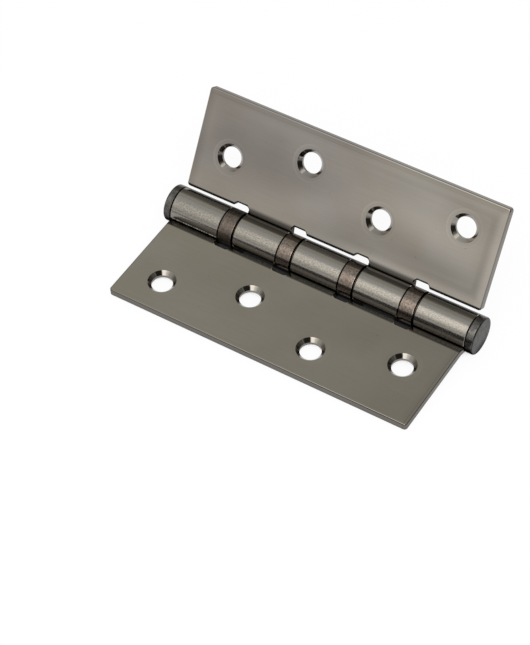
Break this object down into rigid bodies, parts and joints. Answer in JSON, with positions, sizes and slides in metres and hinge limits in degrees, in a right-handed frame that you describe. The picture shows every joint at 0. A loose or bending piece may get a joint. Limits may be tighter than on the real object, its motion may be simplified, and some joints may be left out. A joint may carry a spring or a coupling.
{
  "type": "mortise hinge",
  "caption": "Steel butt hinge whose leaves, with rolled knuckles and countersunk screw holes, turn on a straight pin with flat end caps and ball-bearing rings between the knuckles.",
  "frame": {"origin": "on the fixed leaf's seating face, at mid length and half way from the pin's axis to the free edge", "axes": "+X along the pin, +Z out of the countersunk face of the fixed leaf, +Y from that leaf towards the pin"},
  "size_m": [0.1054, 0.0603, 0.0381],
  "materials": {
    "leaf_plating": "satin black nickel plating over pressed steel",
    "cap_plating": "matt black nickel plating",
    "ring_bronze": "brown plated steel with turning marks",
    "bright_steel": "ground steel",
    "cage_brass": "pressed brass"
  },
  "bodies": {
    "fixed_leaf": {"leaf_three_knuckle": "leaf_plating", "hinge_pin": "bright_steel", "end_cap_left": "cap_plating", "end_cap_right": "cap_plating", "bearing_ring_1": "ring_bronze", "bearing_ring_2": "ring_bronze", "bearing_ring_3": "ring_bronze", "bearing_ring_4": "ring_bronze", "race_left_1": "bright_steel", "race_right_2": "bright_steel", "race_left_3": "bright_steel", "race_right_4": "bright_steel"},
    "moving_leaf": {"leaf_two_knuckle": "leaf_plating", "race_right_1": "bright_steel", "race_left_2": "bright_steel", "race_right_3": "bright_steel", "race_left_4": "bright_steel"},
    "bearing_cage_1": {"ball_cage_1": "cage_brass", "ball_set_1": "bright_steel"},
    "bearing_cage_2": {"ball_cage_2": "cage_brass", "ball_set_2": "bright_steel"},
    "bearing_cage_3": {"ball_cage_3": "cage_brass", "ball_set_3": "bright_steel"},
    "bearing_cage_4": {"ball_cage_4": "cage_brass", "ball_set_4": "bright_steel"}
  },
  "joints": [
    {"name": "leaf_swing", "type": "hinge", "parent": "fixed_leaf", "child": "moving_leaf", "pos_m": [0, 0.0191, 0.003], "axis": [1, 0, 0], "range_deg": [-185, 122]},
    {"name": "cage_spin_1", "type": "hinge", "parent": "fixed_leaf", "child": "bearing_cage_1", "pos_m": [0, 0.0191, 0.003], "axis": [1, 0, 0], "range_deg": [-93.5, 62]},
    {"name": "cage_spin_2", "type": "hinge", "parent": "fixed_leaf", "child": "bearing_cage_2", "pos_m": [0, 0.0191, 0.003], "axis": [1, 0, 0], "range_deg": [-93.5, 62]},
    {"name": "cage_spin_3", "type": "hinge", "parent": "fixed_leaf", "child": "bearing_cage_3", "pos_m": [0, 0.0191, 0.003], "axis": [1, 0, 0], "range_deg": [-93.5, 62]},
    {"name": "cage_spin_4", "type": "hinge", "parent": "fixed_leaf", "child": "bearing_cage_4", "pos_m": [0, 0.0191, 0.003], "axis": [1, 0, 0], "range_deg": [-93.5, 62]}
  ],
  "couplings": [
    {"joint": "cage_spin_1", "follows": "leaf_swing", "ratio": 0.5},
    {"joint": "cage_spin_2", "follows": "leaf_swing", "ratio": 0.5},
    {"joint": "cage_spin_3", "follows": "leaf_swing", "ratio": 0.5},
    {"joint": "cage_spin_4", "follows": "leaf_swing", "ratio": 0.5}
  ]
}
